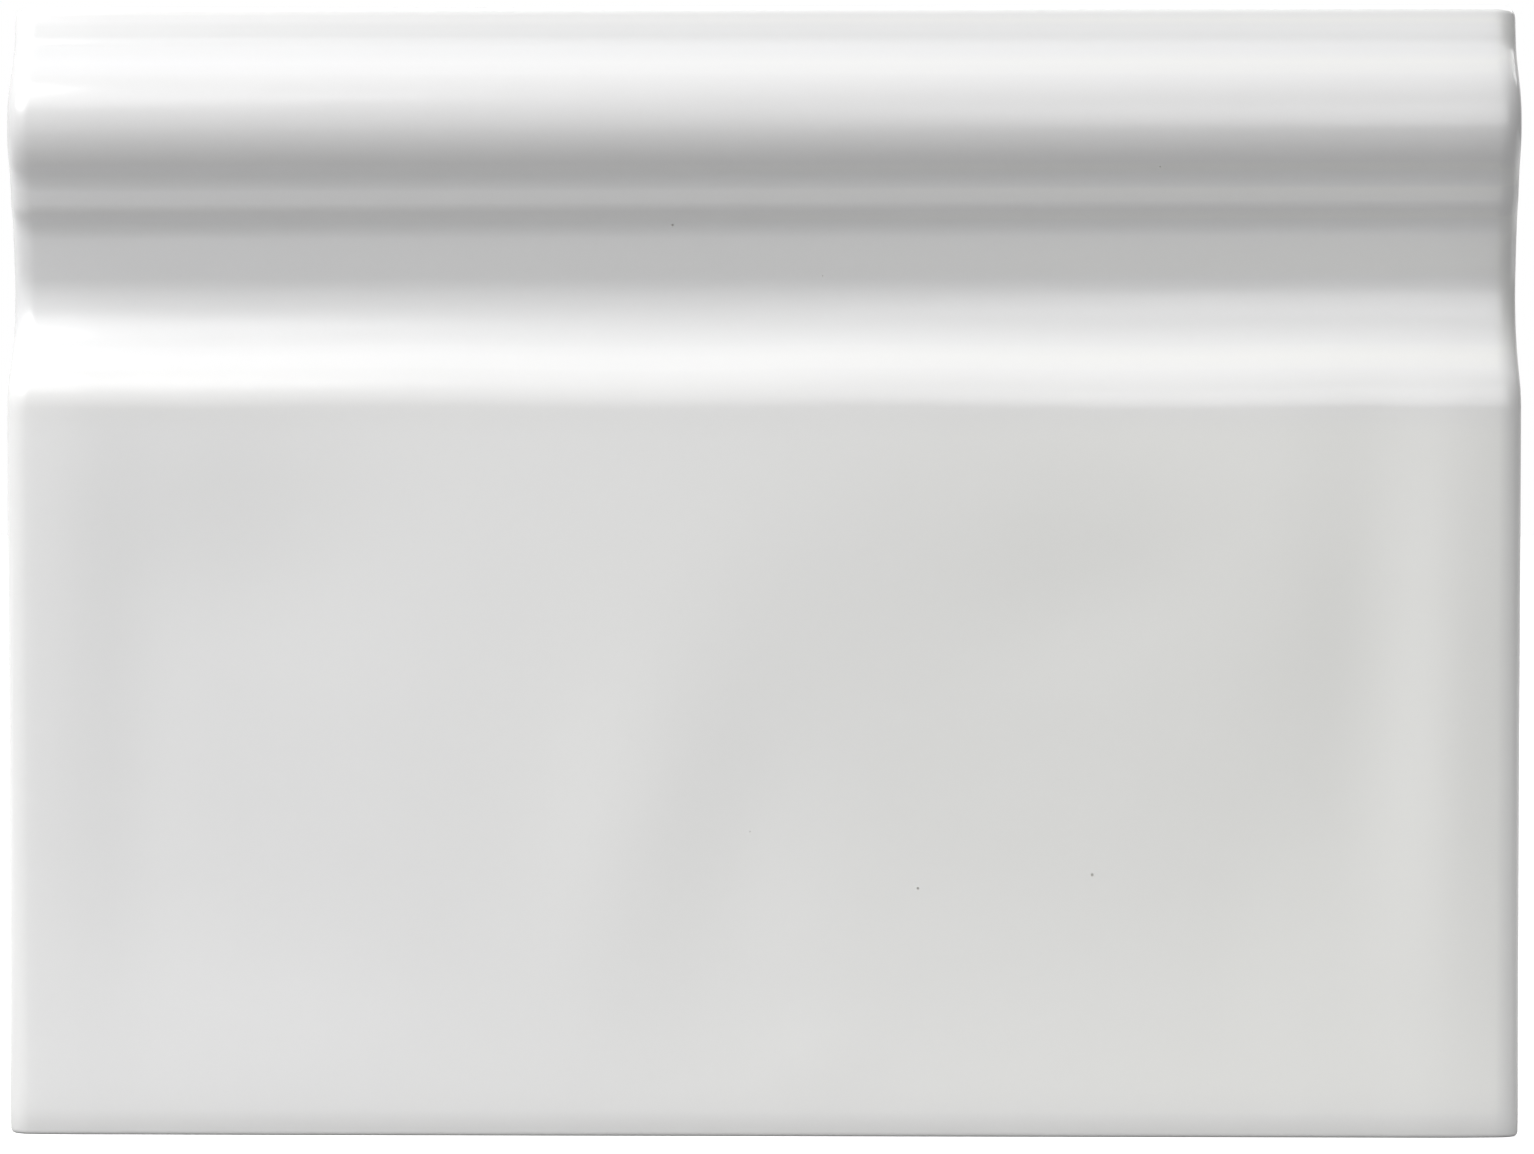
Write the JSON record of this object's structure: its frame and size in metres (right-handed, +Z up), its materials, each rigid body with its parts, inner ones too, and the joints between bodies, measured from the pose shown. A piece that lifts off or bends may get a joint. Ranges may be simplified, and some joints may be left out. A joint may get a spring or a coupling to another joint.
{
  "type": "ceramic skirting tile",
  "caption": "Glazed ceramic skirting tile with a plain face and a moulded top: rounded torus, stepped quirk and cove, rolled ends and a relief back.",
  "frame": {"origin": "middle of the foot, halfway through the tile's greatest depth", "axes": "+X along the wall, +Y into the wall, out of the flat back, +Z up from the foot to the moulded top"},
  "size_m": [0.198, 0.0154, 0.148],
  "materials": {
    "white_glaze": "glossy off-white glaze over a pressed clay body, bare on the back"
  },
  "bodies": {
    "root": {"skirting_tile": "white_glaze"}
  },
  "joints": []
}
